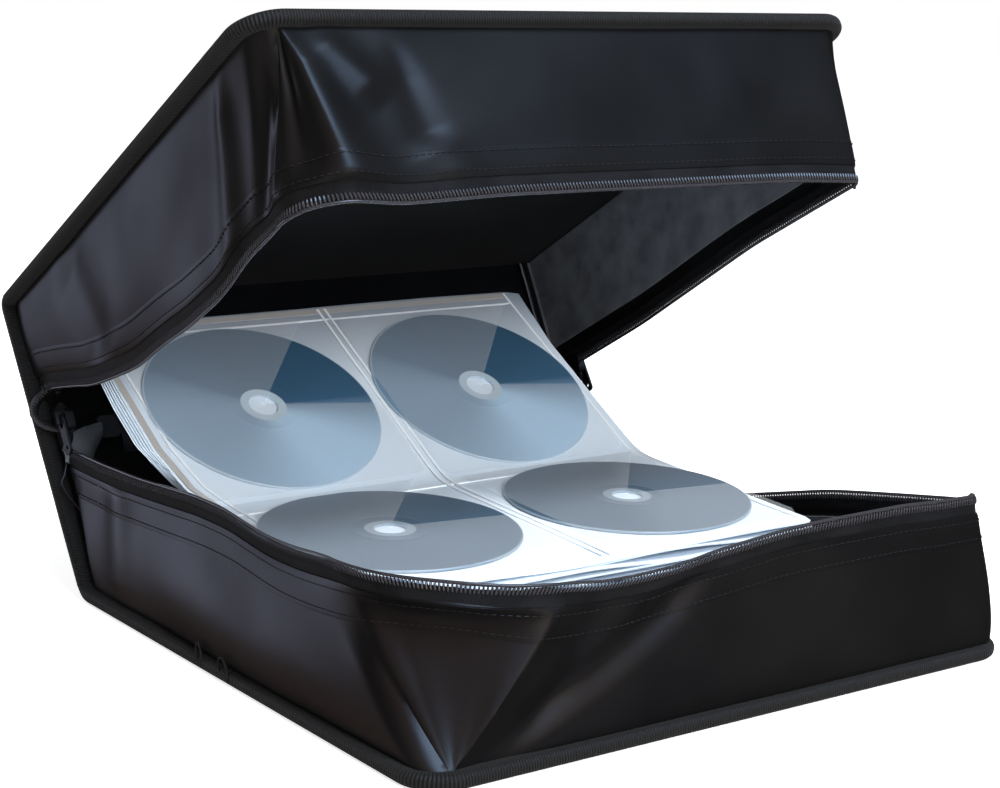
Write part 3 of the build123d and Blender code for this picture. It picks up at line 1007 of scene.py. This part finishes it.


# Printed disc under its pocket: lacquered metal print, with a painted sheen that turns round the middle,
# lighter and darker wedges in its colour
def discMaterial(name, look):
    made, tree = newMaterial(name)
    place = addNode(tree, "UVMap", uv_map="tape")
    split = addNode(tree, "SeparateXYZ", {"Vector": (place, "UV")})

    # Cosine that turns this many times round the middle, from a starting angle
    def wave(times, start):
        angle = mathNode(tree, "MULTIPLY", (split, "X"), times * 2 * math.pi)
        return mathNode(tree, "COSINE", mathNode(tree, "ADD", angle, start))

    lower = mathNode(tree, "MULTIPLY", wave(1, sheen["tilt"]), sheen["lower"])
    total = mathNode(tree, "ADD", wave(2, sheen["turn"]), lower)
    level = addNode(tree, "MapRange", {"Value": total, "From Min": -sheen["span"], "From Max": sheen["span"]})
    stops = ((0.15, look["dark"]), (0.5, look["middle"]), (0.88, look["light"]))
    tone = colourRamp(tree, (level, "Result"), stops)
    # The clear hub ends at a share of 0.2 of the radius, and the print just inside the rim
    stops = ((0.0, "#000000"), (0.19, "#000000"), (0.2, "#ffffff"), (0.985, "#ffffff"), (0.99, "#8f8f8f"))
    hub = colourRamp(tree, (split, "Y"), stops)
    colours = {"Color1": hexToLinear(look["hub"]), "Color2": (tone, "Color")}
    mixed = addNode(tree, "MixRGB", {"Fac": (hub, "Color")} | colours)
    inputs = {"Roughness": 0.32, "Metallic": 0.1, "Coat Weight": 0.3, "Coat Roughness": 0.12}
    finishMaterial(tree, {"Base Color": (mixed, "Color")} | inputs)
    return made


# The back discs have a brighter painted sheen and a lighter hub than the front ones: the same disc, painted
# lit and shaded
discTones = {
    "discBack": {"dark": "#355670", "middle": "#3c5e7b", "light": "#a9cbe6", "hub": "#b2c5d3"},
    "discFront": {"dark": "#44586a", "middle": "#42586b", "light": "#4e6376", "hub": "#8797a4"},
}
discBack, discFront = (discMaterial(name, look) for name, look in discTones.items())


# Revolved profile of a disc, with its map: turn round the middle, and share of the radius
def discShape(steps=96):
    r, h, t = disc["radius"], disc["hole"], disc["thickness"] / 2
    upper = [(h, -t), (h, t), (17, t), (17.6, t + 0.12), (18.5, t), (20, t), (40, t), (r - 0.3, t)]
    rim = [(r, t - 0.3), (r, -t + 0.3), (r - 0.3, -t), (30, -t)]
    away, height = np.array(upper + rim).T
    angle = np.linspace(0, 2 * np.pi, steps + 1)[:, None]
    rings = stacked(away * np.cos(angle), away * np.sin(angle), height)
    return rings, stacked(angle / 2 / np.pi, away / r)


# Place of a disc on the top sleeve, where it has slipped a little in its pocket
def tilted(row, tilt, column, shift):
    x = sleeves["middle"] + column * sleeves["pitch"] / 2 + shift[0]
    c, s = math.cos(tilt), math.sin(tilt)

    def place(p):
        p = np.array(p, float) + [0, shift[1], 0]
        y = row[0] + p[..., 1] * c - p[..., 2] * s
        z = row[1] + p[..., 1] * s + p[..., 2] * c
        return stacked(x + p[..., 0], y, z)

    return place


# Clear polypropylene front of a pocket, slightly milky
pocketFilm = plainMaterial("pocketFilm", {"colour": "#e3e9ef", "rough": 0.18, "alpha": 0.09, "coat": 0.25})
# Half widths of the left and right pockets, the angles where the film starts and ends, and its height
pocketFront = {"half": (62.0, 57.0), "halfHeight": 61.0, "fan": (50, 352), "lift": 0.5, "thickness": 0.25}


# Pocket front over a disc: a square with a fan cut out from the hub to the right edge
def pocketShape(half):
    start, end = (math.radians(turn) for turn in pocketFront["fan"])
    angle = (start + (end - start) * np.linspace(0, 1, 60))[:, None]
    across, along = (np.maximum(np.abs(v), 1e-6) for v in (np.cos(angle), np.sin(angle)))
    r = np.linspace(0.02, 1, 24) * np.minimum(half / across, pocketFront["halfHeight"] / along)
    lift = disc["thickness"] / 2 + pocketFront["lift"]
    return stacked(r * np.cos(angle), r * np.sin(angle), lift)


slipped = {
    "BackLeft": (-1.5, 0.0), "BackRight": (-6.3, -3.7), "FrontLeft": (-0.9, 7.8), "FrontRight": (-0.8, 2.5),
}
rows = (
    ("back", sleeves["backRow"], sleeves["backTilt"], discBack),
    ("front", sleeves["frontRow"], sleeves["frontTilt"], discFront),
)
rings, uv = discShape()
discSolid = (rings, [gridFaces(rings.shape[0], rings.shape[1], True)])
for rowName, row, tilt, look in rows:
    for k, columnName in enumerate(("left", "right")):
        where = rowName.title() + columnName.title()
        place = tilted(row, tilt, 2 * k - 1, slipped[where])
        made = addPiece("disc" + where, discSolid, place, "sleeves", look, uv)
        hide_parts(f"disc_{rowName}_{columnName}")
        solid = slab(pocketShape(pocketFront["half"][k]), pocketFront["thickness"])
        film = addPiece("pocket" + where, solid, place, "sleeves", pocketFilm)
        if where == "BackLeft":
            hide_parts("pocket_fronts")
print("sleeves and discs made")

slotMaterials = {
    "leatherette": leather,
    "board": boardMaterial,
    "nylon_lining": liningCloth,
    "grosgrain": grosgrain,
    "zip_tape": tapeCloth,
    "zip_teeth": coilPlastic,
    "black_zinc": enamel,
    "plated_steel": steel,
    "sleeve": sleeveFilm,
    "disc": discBack,
    "clear_film": pocketFilm,
}
for part in frame["record"]["subparts"]:
    node = frame["nodes"][part["node"]]
    node.data.materials.clear()
    node.data.materials.append(slotMaterials[part["material_slot"]])
print("materials given to the CAD nodes")

# Soft light from a pale room. What a shiny surface mirrors is set apart from it: a dim room with a few soft
# panels, each in a direction, with the angles at which it starts and is full, its colour and its strength
studio = {
    "light": 0.5,
    "floor": "#ffffff",
    "room": ("#66605c", 0.2),
    "panels": (
        ((-0.6, 0.75, -0.3), 26, 10, "#b3998b", 0.4),
        ((-0.5, 0.85, 0.25), 26, 10, "#9a8c88", 0.5),
        ((-0.49, 0.87, -0.07), 12, 4, "#a3aac4", 3.6),
        ((-0.62, -0.52, 0.59), 36, 12, "#8f766a", 1.0),
        ((-0.78, -0.53, -0.3), 36, 10, "#8c7668", 0.6),
        ((0.5, -0.5, 0.7), 50, 15, "#8fa0b8", 0.3),
        ((0.53, 0.78, 0.34), 30, 10, "#c9ccd2", 0.55),
        ((0.06, -0.58, 0.81), 25, 9, "#b0cdf2", 9.0),
        ((0.0, -0.96, 0.2), 22, 6, "#b9a89c", 2.2),
        ((0.5, -0.8, -0.3), 17, 5, "#8a90a0", 0.7),
        ((0.72, -0.62, -0.28), 18, 5, "#3a3a40", 0.1),
    ),
}


# Soft rectangular light aimed at a point, not mirrored by anything
def addLight(name, place, target, size, power):
    data = bpy.data.lights.new(name, "AREA")
    data.shape = "RECTANGLE"
    data.size, data.size_y = size
    data.energy = power
    made = bpy.data.objects.new(name, data)
    made.location = place
    made.rotation_euler = (Vector(target) - Vector(place)).to_track_quat("-Z", "Y").to_euler()
    made.visible_glossy = False
    made.visible_camera = False
    bpy.context.scene.collection.objects.link(made)


world = bpy.data.worlds.new("studio")
bpy.context.scene.world = world
world.use_nodes = True
tree = world.node_tree
tree.nodes.clear()
direction = addNode(tree, "TexCoord")
mirrored = addNode(tree, "RGB")
mirrored.outputs["Color"].default_value = [v * studio["room"][1] for v in hexToLinear(studio["room"][0])]
last = (mirrored, "Color")
for axis, outer, inner, code, strength in studio["panels"]:
    axis = Vector(axis).normalized()
    turn = addNode(tree, "VectorMath", {0: (direction, "Generated"), 1: axis}, operation="DOT_PRODUCT")
    start, full = (math.cos(math.radians(angle)) for angle in (outer, inner))
    inputs = {"Value": (turn, "Value"), "From Min": start, "From Max": full}
    share = addNode(tree, "MapRange", inputs, interpolation_type="SMOOTHSTEP")
    colour = [v * strength for v in hexToLinear(code)]
    mixed = addNode(tree, "MixRGB", {"Fac": (share, "Result"), "Color1": last, "Color2": colour})
    last = (mixed, "Color")
plainLight = addNode(tree, "Background", {"Color": hexToLinear("#f6f7f9"), "Strength": studio["light"]})
panelLight = addNode(tree, "Background", {"Color": last, "Strength": 1.0})
ray = addNode(tree, "LightPath")
inputs = {0: (ray, "Is Glossy Ray"), 1: (plainLight, "Background"), 2: (panelLight, "Background")}
both = addNode(tree, "MixShader", inputs)
seen = addNode(tree, "Background", {"Color": [1.0, 1.0, 1.0, 1.0], "Strength": 1.0})
whole = addNode(tree, "MixShader", {0: (ray, "Is Camera Ray"), 1: (both, "Shader"), 2: (seen, "Background")})
addNode(tree, "OutputWorld", {"Surface": (whole, "Shader")})
addLight("top", (-0.1, -0.5, 1.3), (0, -0.1, 0.06), (0.5, 0.4), 21)
addLight("front", (-0.1, -1.0, 0.5), (0, 0.02, 0.07), (0.6, 0.5), 13)

floorMaterial = plainMaterial("floor", {"colour": studio["floor"], "rough": 0.7, "glow": 0.7})
edge = 6000.0
corners = [(x * edge, y * edge, -0.4) for x, y in ((-1, -1), (1, -1), (1, 1), (-1, 1))]
floor = addPiece("floor", (corners, [np.array([[0, 1, 2, 3]])]), asDrawn, None, floorMaterial, closed=False)
floor.visible_glossy = False

# Camera: where it stands, its yaw from the y axis, how far it looks down and its roll, in radians
view = {"place": (-572.4, -770.2, 306.0), "yaw": 0.619, "pitch": 0.198, "roll": -0.021, "lens": 74.9}
cameraData = bpy.data.cameras.new("camera")
cameraData.lens = view["lens"]
cameraData.sensor_width = 36.0
cameraData.clip_end = 50.0
camera = bpy.data.objects.new("camera", cameraData)
level = Euler((math.pi / 2 - view["pitch"], 0, -view["yaw"])).to_matrix()
turn = level @ Matrix.Rotation(-view["roll"], 3, "Z")
camera.matrix_world = Matrix.Translation(Vector(view["place"]) * 0.001) @ turn.to_4x4()
bpy.context.scene.collection.objects.link(camera)
bpy.context.scene.camera = camera
bpy.context.scene.view_settings.view_transform = "Standard"
print("lights and camera set")
